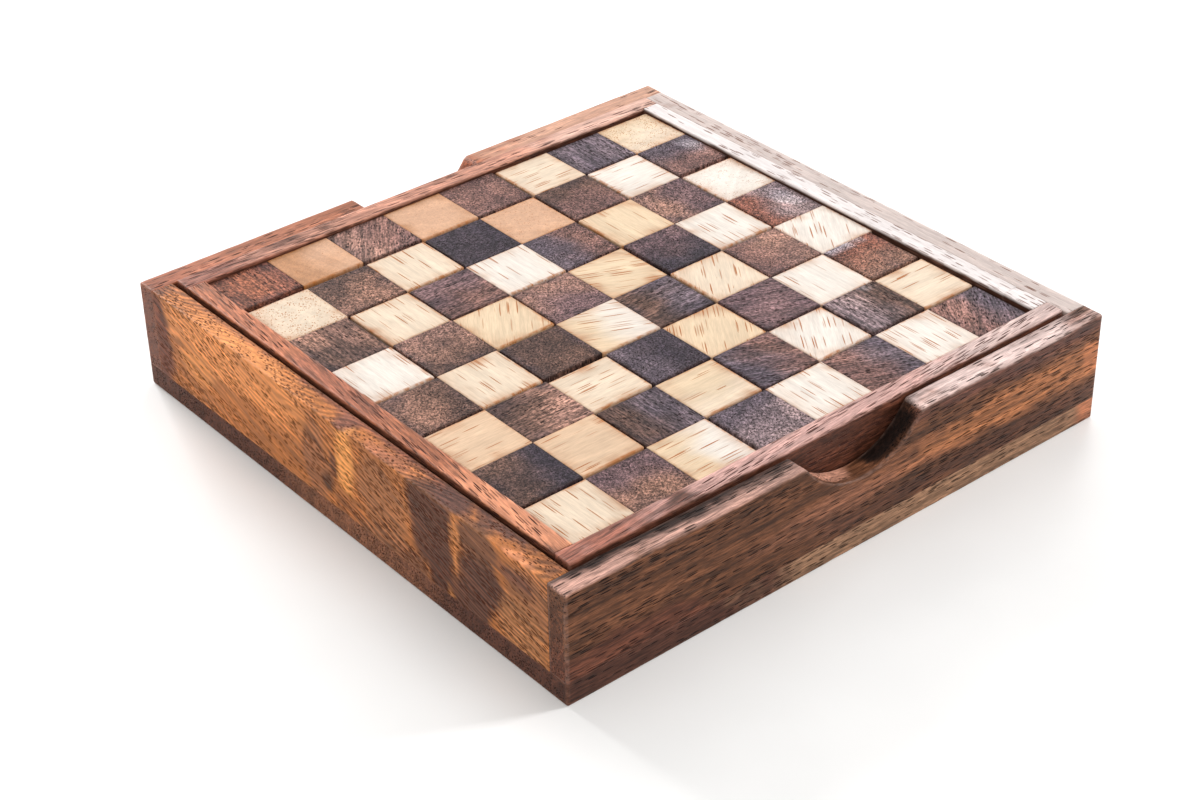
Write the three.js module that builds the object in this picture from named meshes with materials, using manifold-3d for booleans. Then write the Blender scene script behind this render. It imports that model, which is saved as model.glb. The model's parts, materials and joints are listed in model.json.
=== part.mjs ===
// Wooden puzzle box: a shallow square case, a tray that lifts out of it by two thumb
// notches, and a chequerboard puzzle of thirteen loose pieces that fills the tray. Each
// puzzle piece is glued up from cubes.
//
// Millimetres, +Z up. The origin is the centre of the case's underside. +X runs along the
// notched front rail, and the front faces -Y.

import * as THREE from 'three';
import { mergeVertices } from 'three/addons/utils/BufferGeometryUtils.js';
import Module from 'manifold-3d';

const wasm = await Module();
wasm.setup();

// ---------------------------------------------------------------- driving dimensions

const SQUARES = 8; // squares along one side of the chequerboard
const CAVITY = 121; // inside of the tray, which is square
const BLOCK_HEIGHT = 15; // height of the cubes
const TRAY_WALL = 4.25;
const TRAY_FLOOR = 5;
const TRAY_RECESS = 0.75; // how far the blocks lie below the tray's top edge
const TRAY_GAP = 0.75; // play between the tray and the case, on every side
const CASE_WALL = 5;
const CASE_HEIGHT = 25;
const BASE_THICKNESS = 5;
const NOTCH_WIDTH = 31; // thumb notch, across its mouth
const NOTCH_DEPTH = 8.75;
const FRONT_NOTCH_X = 2.75; // the two notches were sawn by eye, a little off the middle
const BACK_NOTCH_X = -0.5;
const SPLICE_FROM_FRONT = 8; // splice in the tray's right rail, from the cavity's front wall

const CORNER_RADIUS = 1; // upright edges of the case and the tray
const RAIL_EASE = 0.75; // worn top and bottom edges of the case and the tray
const BLOCK_EASE = 0.5; // worn edges of every cube
const BLOCK_PLAY = 0.1875; // a piece stands this far back from the edge of its squares

// ---------------------------------------------------------------- derived dimensions

const PITCH = CAVITY / SQUARES;
const TRAY = CAVITY + 2 * TRAY_WALL;
const OPENING = TRAY + 2 * TRAY_GAP;
const CASE = OPENING + 2 * CASE_WALL;
const BLOCK_BASE = BASE_THICKNESS + TRAY_FLOOR;
const TRAY_TOP = BLOCK_BASE + BLOCK_HEIGHT + TRAY_RECESS;
const NOTCH_RADIUS = ((NOTCH_WIDTH / 2) ** 2 + NOTCH_DEPTH ** 2) / (2 * NOTCH_DEPTH);

// The chequerboard seen from above, from the back row to the front row. Squares with the
// same letter are glued together into one piece.
const LAYOUT = [
  'AAAAABBB',
  'CCCDDBEB',
  'CFDDDEEG',
  'CFFHHEEG',
  'FFHHHIGG',
  'JJJKKIIG',
  'JJLLKKII',
  'LLLMMMMM',
];

// Each piece's name, and how far it has slid from the centre of its squares, to the right
// and to the back.
const PIECES = {
  A: { name: 'puzzle_back_bar', slid: [-0.0625, 0.0625] },
  B: { name: 'puzzle_back_arch', slid: [0.0625, 0] },
  C: { name: 'puzzle_left_angle', slid: [-0.0625, -0.0625] },
  D: { name: 'puzzle_middle_flag', slid: [0, 0.0625] },
  E: { name: 'puzzle_right_flag', slid: [0.0625, -0.0625] },
  F: { name: 'puzzle_left_fork', slid: [-0.0625, 0.0625] },
  G: { name: 'puzzle_right_branch', slid: [0.125, 0] },
  H: { name: 'puzzle_centre_flag', slid: [0, 0.0625] },
  I: { name: 'puzzle_right_stair', slid: [0.0625, 0] },
  J: { name: 'puzzle_left_flag', slid: [-0.0625, -0.0625] },
  K: { name: 'puzzle_small_step', slid: [0.0625, 0] },
  L: { name: 'puzzle_front_skew', slid: [0, -0.0625] },
  M: { name: 'puzzle_front_bar', slid: [0.0625, -0.125] },
};

// ---------------------------------------------------------------- materials

const wood = (color, roughness = 0.6) =>
  new THREE.MeshStandardMaterial({ color, roughness, metalness: 0 });

const darkRail = () => wood('#5d3f33');
const goldenRail = () => wood('#a5683c');
const redRail = () => wood('#9a6450');
const paleRail = () => wood('#b08f84');
const baseWood = () => wood('#5a3c31');
const trayWood = () => wood('#a2786b');
const blockWood = () => wood('#a98a70', 0.7);

// ---------------------------------------------------------------- solids

// A closed three.js geometry as a manifold solid, ready to join or cut.
function solidOf(geometry) {
  const bare = geometry.clone();
  bare.deleteAttribute('normal');
  bare.deleteAttribute('uv');
  const merged = mergeVertices(bare, 1e-5);
  return new wasm.Manifold(
    new wasm.Mesh({
      numProp: 3,
      vertProperties: new Float32Array(merged.attributes.position.array),
      triVerts: new Uint32Array(merged.index.array),
    }),
  );
}

// A manifold solid as a three.js geometry.
function geometryOf(solid) {
  const mesh = solid.getMesh();
  const geometry = new THREE.BufferGeometry();
  geometry.setAttribute('position', new THREE.BufferAttribute(mesh.vertProperties, 3));
  geometry.setIndex(new THREE.BufferAttribute(mesh.triVerts, 1));
  geometry.computeVertexNormals();
  return geometry;
}

function namedMesh(name, solid, material) {
  const mesh = new THREE.Mesh(geometryOf(solid), material);
  mesh.name = name;
  return mesh;
}

// A plain box between two corners.
function box([x0, y0, z0], [x1, y1, z1]) {
  const geometry = new THREE.BoxGeometry(x1 - x0, y1 - y0, z1 - z0);
  geometry.translate((x0 + x1) / 2, (y0 + y1) / 2, (z0 + z1) / 2);
  return solidOf(geometry);
}

// An upright block between two corners, with its top and bottom edges bevelled by ease and
// its four upright edges rounded to radius.
function easedBlock([x0, y0, z0], [x1, y1, z1], radius, ease, steps) {
  const left = x0 + ease;
  const right = x1 - ease;
  const front = y0 + ease;
  const back = y1 - ease;
  const outline = new THREE.Shape();
  outline.moveTo(left + radius, front);
  outline.absarc(right - radius, front + radius, radius, -Math.PI / 2, 0);
  outline.absarc(right - radius, back - radius, radius, 0, Math.PI / 2);
  outline.absarc(left + radius, back - radius, radius, Math.PI / 2, Math.PI);
  outline.absarc(left + radius, front + radius, radius, Math.PI, 1.5 * Math.PI);
  const geometry = new THREE.ExtrudeGeometry(outline, {
    depth: z1 - z0 - 2 * ease,
    bevelThickness: ease,
    bevelSize: ease,
    bevelSegments: steps,
    curveSegments: steps,
  });
  geometry.translate(0, 0, z0 + ease);
  return solidOf(geometry);
}

// ---------------------------------------------------------------- case

// The four rails of a square frame: the front and back ones run its full length, and the
// left and right ones are butted between them.
function frameBoxes(outside, wall, bottom, top) {
  const out = outside / 2;
  const inn = out - wall;
  return {
    front: [[-out, -out, bottom], [out, -inn, top]],
    back: [[-out, inn, bottom], [out, out, top]],
    left: [[-out, -inn, bottom], [-inn, inn, top]],
    right: [[inn, -inn, bottom], [out, inn, top]],
  };
}

// The round cutter for a thumb notch, lying along Y through the whole case.
function notchCutter(x) {
  const cutter = new THREE.CylinderGeometry(NOTCH_RADIUS, NOTCH_RADIUS, 2 * CASE, 96);
  cutter.translate(x, 0, CASE_HEIGHT - NOTCH_DEPTH + NOTCH_RADIUS);
  return solidOf(cutter);
}

function buildCase() {
  const half = CASE / 2;
  const envelope = easedBlock([-half, -half, 0], [half, half, CASE_HEIGHT], CORNER_RADIUS, RAIL_EASE, 3);
  const rails = frameBoxes(CASE, CASE_WALL, BASE_THICKNESS, CASE_HEIGHT);
  const cut = (corners) => envelope.intersect(box(...corners));
  const base = cut([[-half, -half, 0], [half, half, BASE_THICKNESS]]);
  const front = cut(rails.front).subtract(notchCutter(FRONT_NOTCH_X));
  const back = cut(rails.back).subtract(notchCutter(BACK_NOTCH_X));

  const group = new THREE.Group();
  group.add(namedMesh('base_board', base, baseWood()));
  group.add(namedMesh('front_rail', front, darkRail()));
  group.add(namedMesh('back_rail', back, redRail()));
  group.add(namedMesh('left_rail', cut(rails.left), goldenRail()));
  group.add(namedMesh('right_rail', cut(rails.right), paleRail()));
  return group;
}

// ---------------------------------------------------------------- tray

function buildTray() {
  const half = TRAY / 2;
  const bottom = BASE_THICKNESS;
  const envelope = easedBlock([-half, -half, bottom], [half, half, TRAY_TOP], CORNER_RADIUS, BLOCK_EASE, 2);
  const rails = frameBoxes(TRAY, TRAY_WALL, BLOCK_BASE, TRAY_TOP);
  const cut = (corners) => envelope.intersect(box(...corners));
  const floor = cut([[-half, -half, bottom], [half, half, BLOCK_BASE]]);

  // The right rail is spliced from a long length and a short one.
  const splice = -CAVITY / 2 + SPLICE_FROM_FRONT;
  const [low, high] = rails.right;
  const shortLength = [low, [high[0], splice, high[2]]];
  const longLength = [[low[0], splice, low[2]], high];

  const group = new THREE.Group();
  group.add(namedMesh('tray_floor', floor, trayWood()));
  group.add(namedMesh('tray_front_rail', cut(rails.front), trayWood()));
  group.add(namedMesh('tray_back_rail', cut(rails.back), trayWood()));
  group.add(namedMesh('tray_left_rail', cut(rails.left), trayWood()));
  group.add(namedMesh('tray_right_rail', cut(longLength), paleRail()));
  group.add(namedMesh('tray_right_rail_end', cut(shortLength), paleRail()));
  return group;
}

// ---------------------------------------------------------------- puzzle pieces

// One cube of a piece. It reaches the edge of its square where it is glued to the next cube
// of the same piece, and stands back from it everywhere else.
function cube(letter, column, row) {
  const play = (dc, dr) => (LAYOUT[row + dr]?.[column + dc] === letter ? 0 : BLOCK_PLAY);
  const west = column * PITCH - CAVITY / 2;
  const north = CAVITY / 2 - row * PITCH;
  return easedBlock(
    [west + play(-1, 0), north - PITCH + play(0, 1), BLOCK_BASE],
    [west + PITCH - play(1, 0), north - play(0, -1), BLOCK_BASE + BLOCK_HEIGHT],
    BLOCK_EASE,
    BLOCK_EASE,
    1,
  );
}

function buildPiece(letter) {
  let piece = null;
  LAYOUT.forEach((squares, row) => {
    [...squares].forEach((owner, column) => {
      if (owner !== letter) return;
      const next = cube(letter, column, row);
      piece = piece ? piece.add(next) : next;
    });
  });
  const { name, slid } = PIECES[letter];
  const mesh = namedMesh(name, piece, blockWood());
  mesh.position.set(slid[0], slid[1], 0);
  return mesh;
}

// ---------------------------------------------------------------- the whole box

const puzzleBox = new THREE.Group();
puzzleBox.name = 'wooden_puzzle_box';
puzzleBox.add(buildCase());
puzzleBox.add(buildTray());
for (const letter of Object.keys(PIECES)) {
  puzzleBox.add(buildPiece(letter));
}

export default puzzleBox;
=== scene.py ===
# The looks of the wooden puzzle box: oiled rails, a lift-out tray and a chequerboard of pale
# and dark cubes, all in real wood. Every board, rail and cube is one block of wood, lofted
# from end to end with edges that have been eased by hand.
#
# Metres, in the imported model's frame: +Z up, +X along the notched front rail, front at -Y.

import json
import math
import random

import bpy
from mathutils import Matrix, Vector, noise


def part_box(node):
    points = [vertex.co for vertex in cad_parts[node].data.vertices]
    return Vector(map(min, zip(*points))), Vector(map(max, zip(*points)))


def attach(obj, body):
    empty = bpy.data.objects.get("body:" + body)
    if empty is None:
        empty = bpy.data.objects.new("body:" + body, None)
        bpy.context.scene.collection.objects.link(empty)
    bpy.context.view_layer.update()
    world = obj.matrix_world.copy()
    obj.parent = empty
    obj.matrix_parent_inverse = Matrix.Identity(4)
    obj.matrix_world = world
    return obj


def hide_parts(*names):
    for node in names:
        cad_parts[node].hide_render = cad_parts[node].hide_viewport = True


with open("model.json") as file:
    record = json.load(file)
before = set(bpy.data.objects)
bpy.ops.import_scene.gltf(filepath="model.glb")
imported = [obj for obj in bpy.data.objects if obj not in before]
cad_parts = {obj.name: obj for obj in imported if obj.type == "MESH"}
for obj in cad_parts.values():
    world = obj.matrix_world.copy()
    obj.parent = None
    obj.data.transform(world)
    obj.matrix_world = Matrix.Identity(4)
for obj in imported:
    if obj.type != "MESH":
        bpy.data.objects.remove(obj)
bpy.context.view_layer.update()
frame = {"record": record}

MM = 0.001
noise.seed_set(1)  # without it noise_vector differs from run to run

# ---------------------------------------------------------------- driving sizes

EDGE_STEPS = 4  # facets round a worn edge
EDGE_BAND = 0.45 * MM  # beside a worn edge, where the wear fades out
FULLY_WORN = 0.3 * MM  # an edge this round is as worn as it gets
TIGHT = 0.1 * MM  # the edge of a face that is glued to the next board
GLUED = 0.16 * MM  # the same between two cubes
CASE_EDGE = 0.36 * MM  # roundness of the case's outer edges
CASE_INNER_EDGE = 0.2 * MM
BASE_EDGE = 0.5 * MM  # roundness under the base board
TRAY_EDGE = 0.28 * MM
CUBE_EDGE = 0.28 * MM
CUBE_LOWER_EDGE = 0.2 * MM
RAIL_SPACING = 1.1 * MM  # between a rail's sections
CUBE_SPACING = 1.7 * MM
SURFACE_WAVE = 0.04 * MM  # how far a hand-sanded face strays from flat
WAVE_LENGTH = 18 * MM
WEAR_LENGTH = 4 * MM  # along an edge, between its more and its less worn places

NOTCH_WIDTH = 31 * MM  # thumb notch, across its mouth
NOTCH_DEPTH = 8.75 * MM
NOTCH_FACET = 0.4 * MM  # worn corner at each end of the mouth
NOTCH_STEP = math.radians(3)

BLOCK_GAP = 0.24 * MM  # a puzzle piece's free sides stand this far back from its squares
BLOCK_DROP = 0.05 * MM  # between one height of puzzle piece and the next lower one
BLOCK_HEIGHTS = 4
LAMP_DISTANCE = 1.2  # metres from the box to each softbox
FLOOR_REACH = 6.0  # metres to each side


# ---------------------------------------------------------------- colours

def linear(code):
    """A hex colour as linear red, green and blue."""
    channels = [int(code[i:i + 2], 16) / 255 for i in (1, 3, 5)]
    return Vector([c / 12.92 if c <= 0.04045 else ((c + 0.055) / 1.055) ** 2.4 for c in channels])


TONES = {
    # pale woods
    "ivory": "#d3cac1",
    "cream": "#cfbda8",
    "butter": "#ccb598",
    "sand": "#c8ab8f",
    "peach": "#c2997c",
    "honey": "#a87955",
    # dark woods
    "rust": "#7d4a34",
    "russet": "#7a4a3a",
    "clay": "#7b5a4c",
    "rose": "#8e6a5c",
    "mauve": "#74544c",
    "umber": "#563f36",
    "violet": "#624b4c",
    "slate": "#5c4f55",
    "grey": "#867170",
    "ink": "#372e35",
}
TONES = {name: linear(code) for name, code in TONES.items()}
PALE = ("ivory", "cream", "butter", "sand", "peach", "honey")
SAWN_PALE = linear("#8c5527")  # the sides of a pale cube, scorched by the saw
SAWN_DARK = linear("#3a2620")
PAINTED_SHEEN = linear("#c9c0c4")  # painted sheen: a pale bluish grey where the lamps' glare lies on a dark cube
BURNT_BAND = (0.4 * MM, 3.5 * MM)  # in from a cube's sides, where its darker edges fade out
SAWN_BAND = (0.2 * MM, 1.0 * MM)  # down from a cube's top, where its saw marks set in
PATCH_EDGE = (0.75, 1.15)  # where a patch of wood fades out, as shares of its reach

# ---------------------------------------------------------------- the chequerboard

# Seen from above, back row first. Squares with one letter are glued into one puzzle piece.
LAYOUT = (
    "AAAAABBB",
    "CCCDDBEB",
    "CFDDDEEG",
    "CFFHHEEG",
    "FFHHHIGG",
    "JJJKKIIG",
    "JJLLKKII",
    "LLLMMMMM",
)
PIECES = {
    "A": "back_bar",
    "B": "back_arch",
    "C": "left_angle",
    "D": "middle_flag",
    "E": "right_flag",
    "F": "left_fork",
    "G": "right_branch",
    "H": "centre_flag",
    "I": "right_stair",
    "J": "left_flag",
    "K": "small_step",
    "L": "front_skew",
    "M": "front_bar",
}
# Each cube's tone and grain. a>b turns from tone a at the left to b at the right, and a~b
# from a at the back to b at the front. The last sign is the grain: - along X, | along Y,
# / and \ between them, and . for end grain.
CUBES = r"""
rust>russet| honey>peach. rose>mauve/   peach.        mauve.       cream-       slate|       butter~cream.
cream.       umber~clay.  cream|        ink.          peach.       umber~mauve. ivory-       slate~mauve.
clay~umber|  cream|       violet~mauve- ivory|        slate>mauve. butter|      rose>violet. ivory.
ivory|       rose~umber.  butter/       rose~violet.  butter\      violet~ink.  ivory|       russet>grey.
clay>umber.  cream|       umber.        butter>ivory\ umber>slate- cream/       mauve>rose.  ivory/
sand-        umber>rose-  cream-        slate>ink.    butter/      violet\      ivory|       russet~clay.
umber>ink.   sand-        umber>slate|  butter~cream- slate>mauve\ ivory/       grey>umber|  cream-
cream|       violet~clay. butter>ivory- slate~grey.   ivory|       mauve>slate\ ivory|       mauve>slate/
""".strip().splitlines()
GRAIN_TURNS = {"-": 0, "/": 55, "|": 90, "\\": -25}  # degrees from the X axis
# Cubes, by column and row, that were cut short, and by how many millimetres, which leaves
# the wider gaps.
CUT_SHORT = {
    (0, 0): {"front": 0.75},
    (1, 0): {"front": 0.55},
    (2, 0): {"front": 0.3},
    (5, 0): {"back": 0.7},
    (6, 0): {"back": 0.8},
    (7, 0): {"back": 0.7},
    (7, 1): {"front": 0.5},
    (2, 4): {"front": 0.3},
    (2, 5): {"back": 0.7},
    (5, 3): {"left": 0.25},
    (7, 5): {"right": 0.8, "front": 0.4},
    (7, 6): {"right": 0.9},
    (7, 7): {"right": 0.8},
    (5, 6): {"right": 0.2},
    (6, 6): {"front": 0.25},
}
# Spots of painted sheen, by their cube's column and row, where glare lies pale on it: the middle,
# from the cube's own, and the reach to the right and to the back, in millimetres, and how pale.
SHEEN_SPOTS = {
    (7, 5): (-2, 7, 5, 1.6, 0.6),
    (7, 3): (4, 1, 3, 5, 0.3),
    (7, 1): (5, 3, 2, 5, 0.25),
    (6, 6): (4, 6, 3, 1.5, 0.3),
}


# ---------------------------------------------------------------- blocks of wood

def side_inset(radius, distance):
    """How far a face stands back at this distance from the end of a block with a worn edge."""
    if distance >= radius:
        return 0.0
    return radius - math.sqrt(max(0.0, radius**2 - (radius - distance) ** 2))


def evenly(start, end, spacing):
    """Places from start to end, both left out, about spacing apart."""
    count = max(1, round((end - start) / spacing))
    return [start + (end - start) * i / count for i in range(1, count)]


class Notch:
    """A round thumb notch in the top of a rail, with a small worn facet at its two ends."""

    def __init__(self, centre):
        self.centre = centre
        half = NOTCH_WIDTH / 2
        self.radius = (half**2 + NOTCH_DEPTH**2) / (2 * NOTCH_DEPTH)
        self.mouth = half + NOTCH_FACET
        self.lip = half - NOTCH_FACET

    def arc(self, offset):
        """The depth of the round part at this distance from its middle."""
        return NOTCH_DEPTH - self.radius + math.sqrt(self.radius**2 - offset**2)

    def depth(self, place):
        """How far the rail's top is cut away at this place along it."""
        offset = abs(place - self.centre)
        if offset >= self.mouth:
            return 0.0
        if offset > self.lip:
            return self.arc(self.lip) * (self.mouth - offset) / (self.mouth - self.lip)
        return self.arc(offset)

    def places(self):
        """Where the rail needs a section to follow the notch."""
        widest = math.asin(self.lip / self.radius)
        steps = math.ceil(2 * widest / NOTCH_STEP)
        arc = [self.radius * math.sin(widest * (2 * i / steps - 1)) for i in range(steps + 1)]
        around = [-self.mouth - EDGE_BAND, -self.mouth, *arc, self.mouth, self.mouth + EDGE_BAND]
        return [self.centre + offset for offset in around]


class Block:
    """One piece of wood between two corners, lofted along X or Y, with worn edges. wear gives
    the roundness at each face, and an edge takes the smaller one of its two faces."""

    SIDES = {"x": ("left", "right", "front", "back"), "y": ("front", "back", "left", "right")}

    def __init__(self, low, high, wear, along="x", spacing=RAIL_SPACING, notch=None, seed=0, chips=0.0):
        self.low, self.high = Vector(low), Vector(high)
        self.along, self.notch, self.seed, self.chips = along, notch, seed, chips
        start, end, near, far = self.SIDES[along]
        self.wear = {
            "start": wear[start],
            "end": wear[end],
            "near": wear[near],
            "far": wear[far],
            "bottom": wear["bottom"],
            "top": wear["top"],
        }
        axis = 0 if along == "x" else 1
        self.axes = (axis, 1 - axis, 2)
        size = self.high - self.low
        self.length, self.width, self.height = (size[i] for i in self.axes)
        self.spacing = spacing
        self.points, self.edges, self.faces = [], [], []
        self.loft()

    def radius(self, *faces):
        """The roundness of the edge between these faces."""
        return min(self.wear[face] for face in faces)

    def places(self):
        """Distances along the block of its sections."""
        places = []
        for name, sign in (("start", 1), ("end", -1)):
            worn = self.wear[name]
            turns = [worn * (1 - math.cos(math.pi / 2 * i / EDGE_STEPS)) for i in range(EDGE_STEPS + 1)]
            places += [(0 if sign > 0 else self.length) + sign * d for d in (*turns, worn + EDGE_BAND)]
        inner = (self.wear["start"] + EDGE_BAND, self.length - self.wear["end"] - EDGE_BAND)
        middle = evenly(*inner, self.spacing)
        if self.notch:
            cut = self.notch.places()
            middle = [p for p in middle if not cut[0] < p < cut[-1]] + cut
        return sorted(places + middle)

    def insets(self, place):
        """How far the four sides stand back at this place because of the worn ends."""
        found = {}
        for side in ("near", "far", "bottom", "top"):
            at_start = side_inset(self.radius("start", side), place)
            at_end = side_inset(self.radius("end", side), self.length - place)
            found[side] = max(at_start, at_end)
        return found

    def section(self, place, extra=0.0):
        """The points round the block at this place, each with how worn it is there."""
        inset = self.insets(place)
        cut = self.notch.depth(place) if self.notch else 0.0
        v0, v1 = inset["near"] + extra, self.width - inset["far"] - extra
        w0, w1 = inset["bottom"] + extra, self.height - inset["top"] - cut - extra
        corners = (
            ("far", "bottom", v1, w0, -90),
            ("far", "top", v1, w1, 0),
            ("near", "top", v0, w1, 90),
            ("near", "bottom", v0, w0, 180),
        )
        arcs = []
        for number, (side, level, v, w, turn) in enumerate(corners):
            where = Vector((place / WEAR_LENGTH, number * 7.3, self.seed))
            uneven = 0.3 * noise.noise(where) + self.chips * noise.noise(where / 4)
            worn = self.radius(side, level) * max(0.3, 1 + uneven)
            worn = min(worn, (v1 - v0) / 2.2, (w1 - w0) / 2.2)
            centre_v = v - worn if side == "far" else v + worn
            centre_w = w - worn if level == "top" else w + worn
            arc = []
            for i in range(EDGE_STEPS + 1):
                angle = math.radians(turn + 90 * i / EDGE_STEPS)
                arc.append((centre_v + worn * math.cos(angle), centre_w + worn * math.sin(angle)))
            arcs.append((arc, min(1.0, worn / FULLY_WORN)))
        points = []
        for number, (arc, worn) in enumerate(arcs):
            following = arcs[(number + 1) % 4][0][0]
            upright = number % 2 == 0
            points += [(v, w, worn) for v, w in arc]
            (av, aw), (bv, bw) = arc[-1], following
            for share in self.shares(self.height if upright else self.width):
                points.append((av + (bv - av) * share, aw + (bw - aw) * share, 0.0))
        return points

    def shares(self, size):
        """Where the points between two corners lie, as shares of the way."""
        band = EDGE_BAND / size
        return [band, *evenly(band, 1 - band, self.spacing * 1.3 / size), 1 - band]

    def loft(self):
        """The points, the wear at each, and the faces, from one section to the next."""
        places = self.places()
        sections = [(places[0], self.section(places[0], EDGE_BAND), 0.0)]
        for place in places:
            nearest, name = min((place, "start"), (self.length - place, "end"))
            worn = self.wear[name]
            at_end = min(1.0, worn / FULLY_WORN) if nearest <= worn * 1.001 else 0.0
            sections.append((place, self.section(place), at_end))
        sections.append((places[-1], self.section(places[-1], EDGE_BAND), 0.0))
        around = len(sections[0][1])
        for place, points, at_end in sections:
            for v, w, worn in points:
                self.points.append(self.placed(place, v, w))
                self.edges.append(max(worn, at_end))
        for ring in (0, len(sections) - 1):  # the flat inside each end isn't worn
            for i in range(around):
                self.edges[ring * around + i] = 0.0
        for s in range(len(sections) - 1):
            for i in range(around):
                a, b = s * around + i, s * around + (i + 1) % around
                self.faces.append((a, b, b + around, a + around))
        last = (len(sections) - 1) * around
        self.faces.append(tuple(reversed(range(around))))
        self.faces.append(tuple(range(last, last + around)))
        if self.along == "y":
            self.faces = [tuple(reversed(face)) for face in self.faces]

    def placed(self, place, v, w):
        """A point of the block in the row frame, with the waves of hand sanding."""
        point = self.low.copy()
        for axis, value in zip(self.axes, (place, v, w)):
            point[axis] += value
        return point + noise.noise_vector(point / WAVE_LENGTH) * SURFACE_WAVE


def worn_on(radius, **others):
    """The roundness at each of a block's faces: the same all over, but for the others."""
    faces = ("left", "right", "front", "back", "bottom", "top")
    return {face: others.get(face, radius) for face in faces}


# ---------------------------------------------------------------- figure and grain

def smooth(value, low, high):
    """0 below low, 1 above high, and a smooth slope between them."""
    share = min(1.0, max(0.0, (value - low) / (high - low)))
    return share * share * (3 - 2 * share)


def blotchy(point, size, seed=0.0):
    """Soft noise from about -1 to 1, with blotches of about this size."""
    where = point / size + Vector((seed, 0.0, 0.0))
    return noise.noise(where) + 0.5 * noise.noise(where * 2.1)


def patched(base, patches, seed):
    """The colour of a board with patches of heartwood and sapwood in it. Each patch is a
    colour, its middle and its reach along X, Y and Z, in millimetres."""
    base = linear(base)
    found = [(linear(code), Vector(middle) * MM, Vector(reach) * MM) for code, middle, reach in patches]

    def colour_at(point):
        colour = base
        wander = 0.26 * blotchy(point, 8 * MM, seed) + 0.12 * blotchy(point, 2.5 * MM, seed + 9)
        for tint, middle, reach in found:
            offset = point - middle
            distance = Vector([o / r for o, r in zip(offset, reach)]).length
            colour = colour.lerp(tint, 1 - smooth(distance + wander, *PATCH_EDGE))
        return colour * (1 + 0.08 * blotchy(point, 16 * MM, seed + 5))

    return colour_at


def grain_of(block, turn=0.0, upright=False, tilt=0.0):
    """A function from a point of the block to its grain coordinates, in millimetres: the first
    runs along the grain, and the growth rings go round an axis that lies off the block."""
    pick = random.Random(block.seed)
    shift = Vector((pick.uniform(0, 900), pick.uniform(-40, 40), pick.uniform(-40, 40)))
    middle = (block.low + block.high) / 2
    if upright:
        turned = Matrix.Rotation(math.radians(90), 3, "Y") @ Matrix.Rotation(pick.uniform(0, 6.3), 3, "Z")
    else:
        turned = Matrix.Rotation(math.radians(tilt), 3, "Y") @ Matrix.Rotation(math.radians(-turn), 3, "Z")
    return lambda point: turned @ ((point - middle) / MM) + shift


def build(name, body, material, blocks):
    """One visible piece from its blocks. Each block comes with its grain and colour functions."""
    points, faces, edges, grains, tones = [], [], [], [], []
    for block, grain_at, colour_at in blocks:
        first = len(points)
        points += block.points
        edges += block.edges
        faces += [tuple(first + i for i in face) for face in block.faces]
        grains += [c for point in block.points for c in grain_at(point)]
        for point in block.points:
            tones += [*colour_at(point), 1.0]
    mesh = bpy.data.meshes.new(name)
    mesh.from_pydata(points, [], faces)
    mesh.attributes.new("edge", "FLOAT", "POINT").data.foreach_set("value", edges)
    mesh.attributes.new("grain", "FLOAT_VECTOR", "POINT").data.foreach_set("vector", grains)
    mesh.attributes.new("tone", "FLOAT_COLOR", "POINT").data.foreach_set("color", tones)
    mesh.polygons.foreach_set("use_smooth", [True] * len(mesh.polygons))
    mesh.materials.append(material)
    mesh.update()
    piece = bpy.data.objects.new("wood_" + name, mesh)
    bpy.context.scene.collection.objects.link(piece)
    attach(piece, body)
    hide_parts(name)
    return piece


# ---------------------------------------------------------------- wood

class Graph:
    """A material's nodes, with a short method for each kind that the woods need."""

    def __init__(self, name):
        self.material = bpy.data.materials.new(name)
        self.material.use_nodes = True
        self.tree = self.material.node_tree
        self.shader = self.tree.nodes["Principled BSDF"]

    def node(self, kind, inputs=None, **settings):
        made = self.tree.nodes.new("ShaderNode" + kind)
        for key, value in settings.items():
            setattr(made, key, value)
        for key, value in (inputs or {}).items():
            self.feed(made.inputs[key], value)
        return made

    def feed(self, socket, value):
        """Links a socket to another node's output, or sets it to a constant."""
        if isinstance(value, bpy.types.NodeSocket):
            self.tree.links.new(value, socket)
        else:
            socket.default_value = value

    def math(self, operation, a, b=0.0):
        return self.node("Math", {0: a, 1: b}, operation=operation).outputs[0]

    def scaled(self, vector, factors):
        """vector times a factor for each axis."""
        made = self.node("VectorMath", {0: vector, 1: factors}, operation="MULTIPLY")
        return made.outputs[0]

    def mix(self, factor, a, b):
        made = self.node("Mix", {0: factor, 6: a, 7: b}, data_type="RGBA")
        return made.outputs[2]

    def shaded(self, colour, factor):
        """colour times a number."""
        return self.node("VectorMath", {0: colour, "Scale": factor}, operation="SCALE").outputs[0]

    def ramp(self, value, low, high, bottom=0.0, top=1.0):
        """A number that goes from bottom to top as value goes from low to high."""
        inputs = {"Value": value, "From Min": low, "From Max": high, "To Min": bottom, "To Max": top}
        return self.node("MapRange", inputs, interpolation_type="SMOOTHSTEP").outputs[0]

    def noise(self, vector, detail=3.0, roughness=0.55):
        inputs = {"Vector": vector, "Scale": 1.0, "Detail": detail, "Roughness": roughness}
        return self.node("TexNoise", inputs).outputs["Fac"]

    def attribute(self, name, output="Vector"):
        return self.node("Attribute", attribute_name=name).outputs[output]


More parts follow.
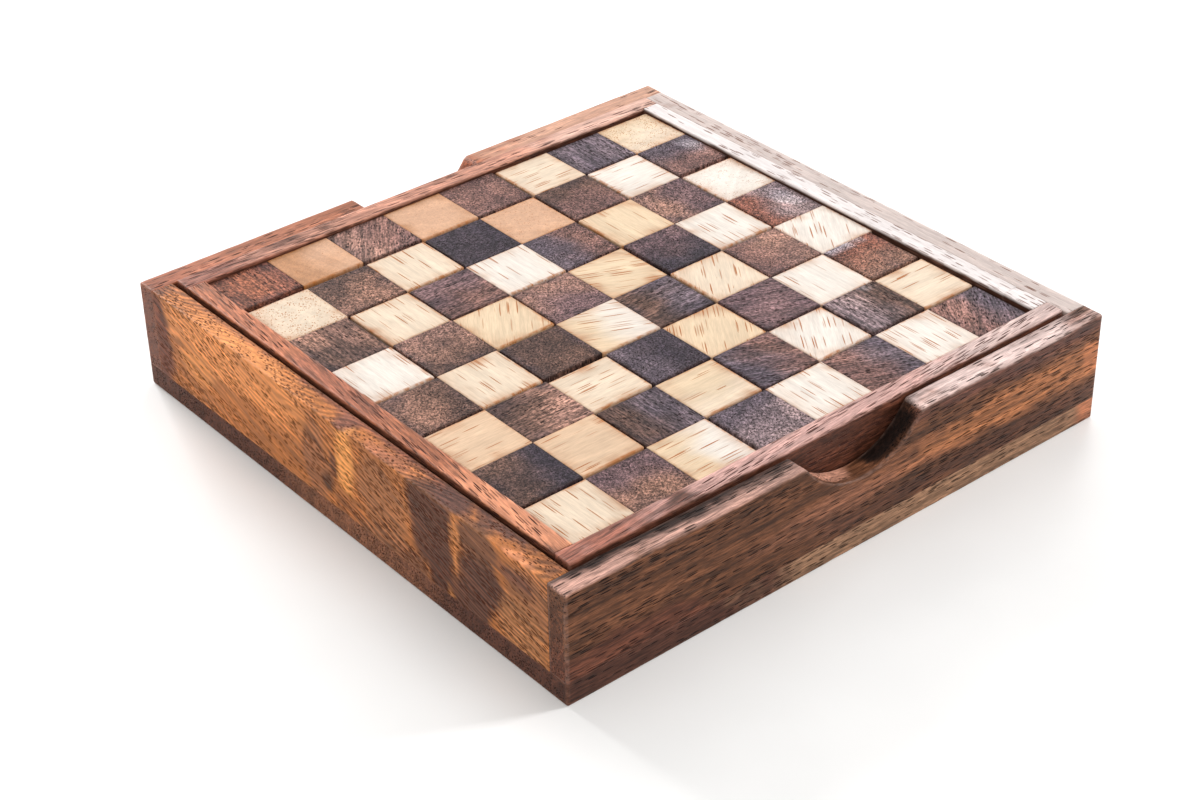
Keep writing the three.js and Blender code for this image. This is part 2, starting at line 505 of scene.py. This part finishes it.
def pores(graph, grain, length, width, share):
    """Open pores: slender dashes along the grain that show as dots on end grain. They are a
    share of the cells of a pattern that is drawn out along the grain. They come in bands, and
    some are fainter than others."""
    cells = graph.scaled(grain, (1 / length, 1 / width, 1 / width))
    cell = graph.node("TexVoronoi", {"Vector": cells, "Scale": 1.0, "Randomness": 1.0})
    inside = graph.ramp(cell.outputs["Distance"], 0.34, 0.48, 1.0, 0.0)
    chance, strength, _ = graph.node("SeparateColor", {0: cell.outputs["Color"]}).outputs
    bands = graph.noise(graph.scaled(grain, (0.012, 0.3, 0.3)), 1.0)
    share = graph.ramp(bands, 0.35, 0.65, share * 0.2, share * 1.8)
    inside = graph.math("MULTIPLY", inside, graph.ramp(strength, 0.0, 1.0, 0.5, 1.0))
    return graph.math("MULTIPLY", inside, graph.math("LESS_THAN", chance, share))


def ring_pattern(graph, grain, pitch):
    """Growth rings: uneven lines round an axis beside and below the board, in millimetres,
    which wanders a little."""
    beside, below, wander = 38.0, 45.0, 14.0
    bend = graph.noise(graph.scaled(grain, (0.02, 0.06, 0.06)), 2.0)
    along, across, up = graph.node("SeparateXYZ", {0: grain}).outputs
    across = graph.math("ADD", graph.math("MULTIPLY", bend, wander), graph.math("ADD", across, beside))
    up = graph.math("ADD", up, below)
    squares = graph.math("ADD", graph.math("MULTIPLY", across, across), graph.math("MULTIPLY", up, up))
    radius = graph.math("MULTIPLY", graph.math("SQRT", squares), 1 / pitch)
    place = graph.node("CombineXYZ", {0: radius, 1: graph.math("MULTIPLY", along, 0.006)}).outputs[0]
    return graph.noise(place, 2.5, 0.6), radius


def ripple_pattern(graph, grain, radius):
    """Fine wavy lines that follow the growth rings, stronger in some places than in others."""
    bend = graph.noise(graph.scaled(grain, (0.06, 0.1, 0.1)), 2.5)
    phase = graph.math("ADD", graph.math("MULTIPLY", radius, 9.0), graph.math("MULTIPLY", bend, 20.0))
    wave = graph.math("SINE", phase)
    where = graph.ramp(graph.noise(graph.scaled(grain, (0.03, 0.09, 0.09)), 1.0), 0.38, 0.6, 0.3, 1.0)
    return graph.math("MULTIPLY", wave, where)


def wood(
    name, fibre, rings, pore, pore_tint, edge_tint, edge_share, roughness, relief, shine,
    ripple=0.0, cloud=0.0, painted_glints=0.0,
):
    """An oiled wood. The tone attribute holds its colour, and the grain attribute its grain.
    fibre is the contrast of the fine streaks, rings the pitch and contrast of the growth
    rings, pore the length, width and share of the open pores, ripple the contrast of fine
    wavy lines, cloud that of bluish dark and light clouds, and painted_glints that of a fine
    speckle of painted glints.
    edge_share is how much of edge_tint a worn edge takes, relief the depth of the bump, and
    shine the specular level."""
    graph = Graph(name)
    grain = graph.attribute("grain")
    tone = graph.attribute("tone", "Color")
    worn = graph.attribute("edge", "Fac")

    broad = graph.noise(graph.scaled(grain, (0.035, 0.5, 0.5)), 2.0)
    streaks = graph.noise(graph.scaled(grain, (0.09, 1.5, 1.5)), 3.0, 0.65)
    hairs = graph.noise(graph.scaled(grain, (0.4, 4.2, 4.2)), 2.0)
    pitch, ring_contrast = rings
    lines, radius = ring_pattern(graph, grain, pitch)

    light = graph.ramp(streaks, 0.36, 0.64, 1 - fibre, 1 + fibre)
    for pattern, start, end, darker, lighter in (
        (hairs, 0.36, 0.64, fibre * 0.9, fibre * 0.9),
        (broad, 0.32, 0.68, fibre * 0.5, fibre * 0.5),
        (lines, 0.36, 0.6, ring_contrast, ring_contrast / 3),
    ):
        light = graph.math("MULTIPLY", light, graph.ramp(pattern, start, end, 1 - darker, 1 + lighter))
    if ripple:
        wavy = ripple_pattern(graph, grain, radius)
        light = graph.math("MULTIPLY", light, graph.ramp(wavy, -1.0, 1.0, 1 - ripple, 1 + ripple))
    # A pale tone shows half as much of the figure as a dark one.
    contrast = graph.ramp(graph.node("SeparateColor", {0: tone}).outputs[0], 0.25, 0.6, 1.0, 0.5)
    light = graph.math("ADD", graph.math("MULTIPLY", graph.math("SUBTRACT", light, 1.0), contrast), 1.0)
    colour = graph.shaded(tone, light)
    if cloud:
        blots = graph.noise(graph.scaled(grain, (0.07, 0.11, 0.11)), 1.5)
        share = graph.ramp(blots, 0.38, 0.62)
        dark = graph.scaled(colour, (1 - cloud, 1 - cloud * 0.92, 1 - cloud * 0.62))
        bright = graph.scaled(colour, (1 + cloud * 0.8, 1 + cloud * 0.8, 1 + cloud * 0.8))
        colour = graph.mix(share, dark, bright)
    if painted_glints:
        # painted glints: a fine light and dark speckle that stands in for the lamps' glints off the pores
        speckle = graph.noise(graph.scaled(grain, (1.3, 2.2, 2.2)), 2.0, 0.6)
        colour = graph.shaded(colour, graph.ramp(speckle, 0.36, 0.64, 1 - painted_glints * 0.8, 1 + painted_glints))

    length, width, share = pore
    open_pores = pores(graph, grain, length, width, share)
    colour = graph.mix(graph.math("MULTIPLY", open_pores, 0.97), colour, (*linear(pore_tint), 1.0))
    patchy = graph.ramp(graph.noise(graph.scaled(grain, (0.5, 0.9, 0.9)), 2.0), 0.35, 0.65, 0.3, 1.0)
    colour = graph.mix(
        graph.math("MULTIPLY", graph.math("MULTIPLY", worn, patchy), edge_share),
        colour,
        (*linear(edge_tint), 1.0),
    )

    height = graph.math("ADD", graph.math("MULTIPLY", streaks, 0.5), graph.math("MULTIPLY", hairs, 0.5))
    height = graph.math("SUBTRACT", height, graph.math("MULTIPLY", open_pores, 1.2))
    bump = graph.node("Bump", {"Strength": relief, "Distance": 0.12 * MM, "Height": height})
    gloss = graph.ramp(streaks, 0.3, 0.7, roughness - 0.06, roughness + 0.08)
    gloss = graph.math("ADD", gloss, graph.math("MULTIPLY", open_pores, 0.9 - roughness))
    graph.feed(graph.shader.inputs["Base Color"], colour)
    graph.feed(graph.shader.inputs["Roughness"], gloss)
    graph.feed(graph.shader.inputs["Normal"], bump.outputs[0])
    graph.shader.inputs["Specular IOR Level"].default_value = shine
    return graph.material


WALNUT = wood(
    "walnut", fibre=0.36, rings=(1.6, 0.3), pore=(3.6, 0.42, 0.5), pore_tint="#0e0604",
    edge_tint="#c9a294", edge_share=0.16, roughness=0.48, relief=0.7, shine=0.15,
)
GOLDEN = wood(
    "golden_wood", fibre=0.22, rings=(1.2, 0.25), pore=(1.8, 0.36, 0.6), pore_tint="#43200f",
    edge_tint="#d69a70", edge_share=0.12, roughness=0.46, relief=0.6, shine=0.16, ripple=0.42,
)
RED_BROWN = wood(
    "red_brown_wood", fibre=0.26, rings=(1.8, 0.24), pore=(3.6, 0.42, 0.42), pore_tint="#2c130e",
    edge_tint="#c08a72", edge_share=0.3, roughness=0.44, relief=0.6, shine=0.2,
)
PALE_BROWN = wood(
    "pale_brown_wood", fibre=0.14, rings=(2.0, 0.12), pore=(4.0, 0.4, 0.3), pore_tint="#6a4638",
    edge_tint="#dccbc4", edge_share=0.15, roughness=0.38, relief=0.45, shine=0.35,
)
TRAY_WOOD = wood(
    "tray_wood", fibre=0.34, rings=(1.6, 0.22), pore=(4.4, 0.4, 0.55), pore_tint="#3a1a12",
    edge_tint="#c99784", edge_share=0.18, roughness=0.44, relief=0.6, shine=0.22,
)
BASE_WOOD = wood(
    "base_wood", fibre=0.3, rings=(1.8, 0.22), pore=(3.0, 0.42, 0.42), pore_tint="#150a07",
    edge_tint="#86604f", edge_share=0.3, roughness=0.52, relief=0.7, shine=0.15,
)
CUBE_WOOD = {
    "pale": wood(
        "pale_cube", fibre=0.12, rings=(2.4, 0.14), pore=(6.5, 0.36, 0.2), pore_tint="#9a5c2c",
        edge_tint="#a05f26", edge_share=0.85, roughness=0.5, relief=0.35, shine=0.2,
    ),
    "dark": wood(
        "dark_cube", fibre=0.34, rings=(1.5, 0.16), pore=(1.4, 0.4, 0.34), pore_tint="#1c1112",
        edge_tint="#2c1c18", edge_share=0.7, roughness=0.5, relief=0.8, shine=0.1,
        cloud=0.22, painted_glints=0.6,
    ),
}


# ---------------------------------------------------------------- the case

def rail(
    node, material, colour_at, wear, along, body="case", notch=None, tilt=0.0, skew=0.0,
    chips=0.25, seed=1,
):
    """A rail or board in the place of its CAD node. tilt and skew turn its grain, in degrees,
    as seen from the side and from above, and chips is how unevenly its edges are worn."""
    low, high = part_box(node)
    block = Block(low, high, wear, along, notch=notch, chips=chips, seed=seed)
    turn = skew if along == "x" else 90 + skew
    build(node, body, material, [(block, grain_of(block, turn, tilt=tilt), colour_at)])


def thumb_notch(name, node):
    """The notch of a rail, at the middle of the opening that the record gives for it."""
    openings = frame["record"]["physics"]["openings"]
    box = next(o["box_m"] for o in openings if o["name"] == name)
    return Notch((box[0][0] + box[1][0]) / 2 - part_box(node)[0].x)


# Each patch is a colour, its middle and its reach, in millimetres. Later ones lie on top.
front_figure = patched(
    "#603c28",
    [
        # the outer face: a dark foot at the left, and warmer wood to the right
        ("#5a3426", (-60, -70, 5), (30, 9, 6)),
        ("#84543a", (22, -70, 14), (22, 9, 3.5)),
        ("#9c633f", (54, -70, 15), (34, 9, 4.2)),
        ("#b8724a", (71, -72, 16), (6, 3, 5)),
        ("#7a4f3a", (-6, -70, 12), (18, 9, 3.5)),
        ("#5e3b30", (48, -70, 24), (34, 9, 3)),
        ("#5c3a2b", (40, -70, 7.5), (50, 9, 2.2)),
        # the paler top, with a dark strip along the left of its inner edge: a painted shadow of the tray
        ("#9c786c", (0, -70, 26), (200, 30, 1.4)),
        ("#cfb6b0", (40, -70, 26), (46, 30, 1.4)),
        ("#2e1b14", (-29, -64, 26), (55, 4.2, 5)),
        # the notch: painted light on its pale left, and nearly black at its right, partly dark end grain
        # and partly painted shadow
        ("#c9917a", (-7, -66, 18), (9, 3.6, 4)),
        ("#1c100c", (12.5, -65.5, 20), (9.5, 4.6, 6.5)),
    ],
    seed=3,
)
left_figure = patched(
    "#ac6936",
    [
        # light wood towards the back, and a dark back corner
        ("#d2864b", (-71, 34, 21), (9, 30, 6)),
        ("#cc8347", (-71, 50, 14), (9, 7, 4)),
        ("#6a3a26", (-71, 68, 12), (9, 8, 17)),
        # the dark knot, and the bright wood in front of it
        ("#98603c", (-71, 6.5, 13), (5, 4.5, 12)),
        ("#77482c", (-71, 0.8, 15.5), (3, 1.6, 3.6)),
        ("#58351f", (-71, 2.8, 10), (3, 1.8, 2.8)),
        ("#dd9450", (-71, -3.6, 19), (4, 3.2, 8)),
        ("#92582f", (-71, -5, 6.5), (4, 6, 3.5)),
        # brown heartwood towards the front, with light streaks in it
        ("#99623c", (-71, -16, 15), (5, 9, 9)),
        ("#8a5838", (-71, -16, 6), (5, 9, 3.5)),
        ("#583525", (-71, -31, 22), (5, 8, 7)),
        ("#583525", (-71, -31, 14), (5, 6.5, 7)),
        ("#543224", (-71, -34, 7), (5, 4.5, 7)),
        ("#7c4e33", (-71, -26, 6), (5, 5, 4)),
        ("#5a3728", (-71, -46, 14), (5, 7.5, 6)),
        ("#5a3728", (-71, -43, 7), (5, 5.5, 7)),
        ("#6e462f", (-71, -45, 22), (5, 7, 4)),
        ("#c17c46", (-71, -38.6, 20), (4, 1.1, 8)),
        ("#b4733f", (-71, -36.8, 4), (4, 0.9, 3.5)),
        ("#8c5a39", (-71, -61, 18), (5, 8, 7)),
        ("#9e6840", (-71, -58, 9), (5, 7, 7)),
        ("#6f4532", (-71, -57, 20.5), (4, 5.5, 1.6)),
        # the top: dark along its inner edge, a painted shadow of the tray, and in two places right across
        ("#a3653f", (-65, 44, 26.4), (2.6, 28, 2.2)),
        ("#7e4b37", (-65, -14, 26.4), (3, 56, 2.2)),
        ("#7c4c3a", (-68, -1.5, 26.4), (9, 3.2, 2)),
        ("#a96a4a", (-69, -17, 26.4), (3, 12, 2)),
        ("#5c3b31", (-68, -36, 26.4), (9, 8, 2)),
        ("#593a31", (-66, -51, 26.4), (4.2, 15, 2)),
        ("#cd855c", (-70, -56, 26.4), (3, 6, 2)),
    ],
    seed=11,
)
back_figure = patched(
    "#945439",
    [
        ("#6c3e2b", (-71, 68, 12), (3.5, 9, 14)),
        ("#a0644a", (-20, 68, 26), (40, 9, 3)),
        ("#b68b75", (50, 68, 26), (36, 9, 3)),
    ],
    seed=17,
)
right_figure = patched("#80594a", [("#b0a09a", (68, 0, 26), (200, 300, 1.6))], seed=23)
base_figure = patched(
    "#573529",
    [
        ("#4c2e24", (-52, -70, 3), (30, 9, 9)),
        ("#8a6850", (27, -68, 3), (50, 20, 9)),
        ("#a96b4c", (70, -72, 3), (6, 3, 9)),
        ("#7c5039", (-70, -4, 3), (9, 27, 9)),
    ],
    seed=29,
)

rail(
    "base_board", BASE_WOOD, base_figure,
    worn_on(CASE_EDGE, bottom=BASE_EDGE, top=TIGHT), "x", seed=2,
)
rail(
    "front_rail", WALNUT, front_figure,
    worn_on(CASE_EDGE, back=CASE_INNER_EDGE, bottom=TIGHT), "x",
    notch=thumb_notch("front_thumb_notch", "front_rail"), chips=0.9, seed=3,
)
rail(
    "back_rail", RED_BROWN, back_figure,
    worn_on(CASE_EDGE, front=CASE_INNER_EDGE, bottom=TIGHT), "x",
    notch=thumb_notch("back_thumb_notch", "back_rail"), seed=4,
)
rail(
    "left_rail", GOLDEN, left_figure,
    worn_on(CASE_EDGE, right=CASE_INNER_EDGE, bottom=TIGHT, front=TIGHT, back=TIGHT), "y", tilt=16, seed=5,
)
rail(
    "right_rail", PALE_BROWN, right_figure,
    worn_on(CASE_EDGE, left=CASE_INNER_EDGE, bottom=TIGHT, front=TIGHT, back=TIGHT), "y", seed=6,
)


# ---------------------------------------------------------------- the tray

# Painted shade: only the tops of the tray's rails take the patches, and their sides, which face narrow
# gaps, keep the dark base colour.
tray_pink = patched(
    "#5a3426",
    [
        ("#8c5646", (-62, 0, 26.1), (36, 200, 0.8)),
        ("#b48c84", (6, -62, 26.1), (60, 9, 0.8)),
        ("#b9a09a", (56, -62, 26.1), (30, 9, 0.8)),
        ("#b07c68", (4, 62, 26.1), (60, 9, 0.8)),
        ("#c9a090", (56, 62, 26.1), (30, 9, 0.8)),
    ],
    seed=31,
)
tray_orange = patched(
    "#5c3627",
    [
        ("#9f6042", (-62, 20, 26.1), (9, 90, 0.8)),
        ("#935840", (-62, 8, 26.1), (9, 16, 0.8)),
        ("#cb8663", (-62, -46, 26.1), (9, 20, 0.8)),
    ],
    seed=37,
)
# Pale wood on the top only; the dark brown of its sides is painted shade of the gap beside the cubes.
tray_pale = patched("#472b20", [("#cfc6c4", (62, 0, 26.1), (30, 90, 0.8))], seed=41)
tray_floor_figure = patched("#6f4836", [], seed=43)

rail(
    "tray_floor", TRAY_WOOD, tray_floor_figure,
    worn_on(TRAY_EDGE, top=TIGHT), "x", body="tray", seed=8,
)
rail(
    "tray_front_rail", TRAY_WOOD, tray_pink,
    worn_on(TRAY_EDGE, bottom=TIGHT), "x", body="tray", skew=5, seed=9,
)
rail(
    "tray_back_rail", TRAY_WOOD, tray_pink,
    worn_on(TRAY_EDGE, bottom=TIGHT), "x", body="tray", skew=-3, seed=10,
)
rail(
    "tray_left_rail", TRAY_WOOD, tray_orange,
    worn_on(TRAY_EDGE, bottom=TIGHT, front=TIGHT, back=TIGHT), "y", body="tray", skew=-7, seed=11,
)
for length_of_rail, seed in (("tray_right_rail", 12), ("tray_right_rail_end", 13)):
    rail(
        length_of_rail, PALE_BROWN, tray_pale,
        worn_on(TRAY_EDGE, bottom=TIGHT, front=TIGHT, back=TIGHT), "y", body="tray", seed=seed,
    )


# ---------------------------------------------------------------- the puzzle pieces

def cavity():
    """The left, front, right and back of the space inside the tray's rails."""
    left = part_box("tray_left_rail")[1].x
    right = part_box("tray_right_rail")[0].x
    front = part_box("tray_front_rail")[1].y
    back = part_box("tray_back_rail")[0].y
    return left, front, right, back


def cube_colour(low, high, tones, gradient, pale, seed, spot):
    """A cube's colour: its one or two tones on top, darker in places along its edges, scorched
    saw marks down its sides, and for some a pale spot of painted sheen."""
    middle = (low + high) / 2
    first, last = TONES[tones[0]], TONES[tones[-1]]
    sawn = SAWN_PALE if pale else SAWN_DARK
    burnt = TONES["honey" if pale else "ink"]

    def colour_at(point):
        if gradient == "~":
            share = (high.y - point.y) / (high.y - low.y)
        else:
            share = (point.x - low.x) / (high.x - low.x)
        share += 0.3 * blotchy(point, 7 * MM, seed * 0.7)
        colour = first.lerp(last, smooth(share, 0.2, 0.8))
        colour = colour * (1 + (0.06 if pale else 0.14) * blotchy(point, 5 * MM, seed * 1.3))
        to_side = min(point.x - low.x, high.x - point.x, point.y - low.y, high.y - point.y)
        near = 1 - smooth(to_side, *BURNT_BAND)
        burn = (0.14 if pale else 0.05) + 0.9 * max(0.0, blotchy(point, 5 * MM, seed * 1.9))
        colour = colour.lerp(burnt, min(1.0, near * burn))
        # painted sheen: a pale spot where the lamps' glare lies on the cube
        if spot:
            x, y, reach_x, reach_y = (value * MM for value in spot[:4])
            off = Vector(((point.x - middle.x - x) / reach_x, (point.y - middle.y - y) / reach_y))
            sheen = 1 - smooth(off.length + 0.6 * blotchy(point, 3 * MM, seed), 0.5, 1.1)
            colour = colour.lerp(PAINTED_SHEEN, spot[4] * sheen)
        below = smooth(high.z - point.z, *SAWN_BAND)
        scorch = 0.6 + 0.35 * blotchy(point, 4 * MM, seed)
        return colour.lerp(sawn, min(1.0, max(0.0, below * scorch)))

    return colour_at


def cube(letter, column, row, token, drop):
    """One cube of a puzzle piece, glued to its neighbours of the same letter: its block, its
    grain, its colour, and whether it is a pale one."""
    left, front, right, back = cavity()
    pitch = (right - left) / len(LAYOUT)
    low = Vector((left + column * pitch, back - (row + 1) * pitch, tray_floor_top))
    high = Vector((left + (column + 1) * pitch, back - row * pitch, piece_top - drop))
    short = CUT_SHORT.get((column, row), {})
    wear = worn_on(CUBE_EDGE, bottom=CUBE_LOWER_EDGE)
    for side, dc, dr in (("left", -1, 0), ("right", 1, 0), ("back", 0, -1), ("front", 0, 1)):
        beside = column + dc, row + dr
        inside = all(0 <= place < len(LAYOUT) for place in beside)
        if inside and LAYOUT[beside[1]][beside[0]] == letter:
            wear[side] = GLUED
            continue
        gap = BLOCK_GAP + short.get(side, 0.0) * MM
        axis = 0 if dc else 1
        if side in ("left", "front"):
            low[axis] += gap
        else:
            high[axis] -= gap
    tones, gradient, grain = read_token(token)
    seed = 100 + row * len(LAYOUT) + column
    block = Block(low, high, wear, spacing=CUBE_SPACING, seed=seed)
    grain_at = grain_of(block, GRAIN_TURNS.get(grain, 0), upright=grain == ".")
    pale = tones[0] in PALE
    spot = SHEEN_SPOTS.get((column, row))
    return block, grain_at, cube_colour(low, high, tones, gradient, pale, seed, spot), pale


def read_token(token):
    """The tones, the sign between them and the grain sign of a cube."""
    words, grain = token[:-1], token[-1]
    gradient = next((sign for sign in ">~" if sign in words), "")
    tones = words.split(gradient) if gradient else [words]
    return tones, gradient, grain


def puzzle_piece(letter, number):
    """One puzzle piece. Its pale and dark cubes are two sets of faces in one mesh."""
    name = PIECES[letter]
    drop = BLOCK_DROP * (number % BLOCK_HEIGHTS)
    parts = []
    for row, squares in enumerate(LAYOUT):
        tokens = CUBES[row].split()
        for column, owner in enumerate(squares):
            if owner == letter:
                parts.append(cube(letter, column, row, tokens[column], drop))
    node = "puzzle_" + name
    piece = build(node, name, CUBE_WOOD["pale"], [part[:3] for part in parts])
    piece.data.materials.append(CUBE_WOOD["dark"])
    index = []
    for block, _, _, pale in parts:
        index += [0 if pale else 1] * len(block.faces)
    piece.data.polygons.foreach_set("material_index", index)


tray_floor_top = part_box("tray_floor")[1].z
piece_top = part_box("puzzle_back_bar")[1].z
for number, letter in enumerate(PIECES):
    puzzle_piece(letter, number)


# ---------------------------------------------------------------- floor, light and camera

def floor():
    """A plain pale floor, which isn't part of the object."""
    mesh = bpy.data.meshes.new("floor")
    sides = ((-1, -1), (1, -1), (1, 1), (-1, 1))
    corners = [(FLOOR_REACH * x, FLOOR_REACH * y, 0) for x, y in sides]
    mesh.from_pydata(corners, [], [(0, 1, 2, 3)])
    graph = Graph("floor_paper")
    place = graph.node("TexCoord").outputs["Object"]
    mottle = graph.ramp(graph.noise(graph.scaled(place, (30, 30, 30)), 2.0), 0.3, 0.7, 0.84, 0.86)
    tint = graph.node("CombineColor", {0: mottle, 1: mottle, 2: mottle}).outputs[0]
    graph.feed(graph.shader.inputs["Base Color"], tint)
    graph.shader.inputs["Roughness"].default_value = 0.35
    graph.shader.inputs["Specular IOR Level"].default_value = 0.3
    mesh.materials.append(graph.material)
    made = bpy.data.objects.new("floor", mesh)
    bpy.context.scene.collection.objects.link(made)


def away(azimuth, elevation):
    """The direction from the box towards a viewer at this azimuth and elevation, in degrees."""
    a, e = math.radians(azimuth), math.radians(elevation)
    return Vector((math.sin(a) * math.cos(e), -math.cos(a) * math.cos(e), math.sin(e)))


def softbox(name, azimuth, elevation, size, power, colour=(1, 1, 1)):
    """A square area light that faces the box."""
    data = bpy.data.lights.new(name, "AREA")
    data.size, data.energy, data.color = size, power, colour
    made = bpy.data.objects.new(name, data)
    direction = away(azimuth, elevation)
    made.location = direction * LAMP_DISTANCE
    made.rotation_mode = "QUATERNION"
    made.rotation_quaternion = direction.to_track_quat("Z", "Y")
    bpy.context.scene.collection.objects.link(made)


def daylight(strength):
    """Even white light from all round."""
    world = bpy.data.worlds.new("daylight")
    world.use_nodes = True
    background = world.node_tree.nodes["Background"]
    background.inputs["Color"].default_value = (1, 1, 1, 1)
    background.inputs["Strength"].default_value = strength
    bpy.context.scene.world = world


def camera():
    """The camera, at the left front corner and above, a little rolled."""
    azimuth, elevation, roll = -39.40, 33.39, -0.97
    distance = 0.4908
    target = Vector((-0.01339, -0.01143, 0.01128))
    back = away(azimuth, elevation)
    data = bpy.data.cameras.new("camera")
    data.lens, data.sensor_width = 72.41, 36
    data.clip_start, data.clip_end = 0.01, 50
    made = bpy.data.objects.new("camera", data)
    made.location = target + back * distance
    upright = back.to_track_quat("Z", "Y").to_matrix()
    made.rotation_mode = "QUATERNION"
    made.rotation_quaternion = (upright @ Matrix.Rotation(math.radians(roll), 3, "Z")).to_quaternion()
    bpy.context.scene.collection.objects.link(made)
    bpy.context.scene.camera = made


floor()
daylight(0.38)
softbox("low_back", 178, 20, 0.5, 20.0)
softbox("right_window", 64, 24, 0.24, 10.0)
softbox("glare", 126, 28, 0.6, 3.0)
softbox("overhead", 100, 70, 1.0, 3.0)
softbox("fill", -58, 28, 0.7, 7.5, (1.0, 0.96, 0.9))
camera()
bpy.context.scene.view_settings.view_transform = "Standard"
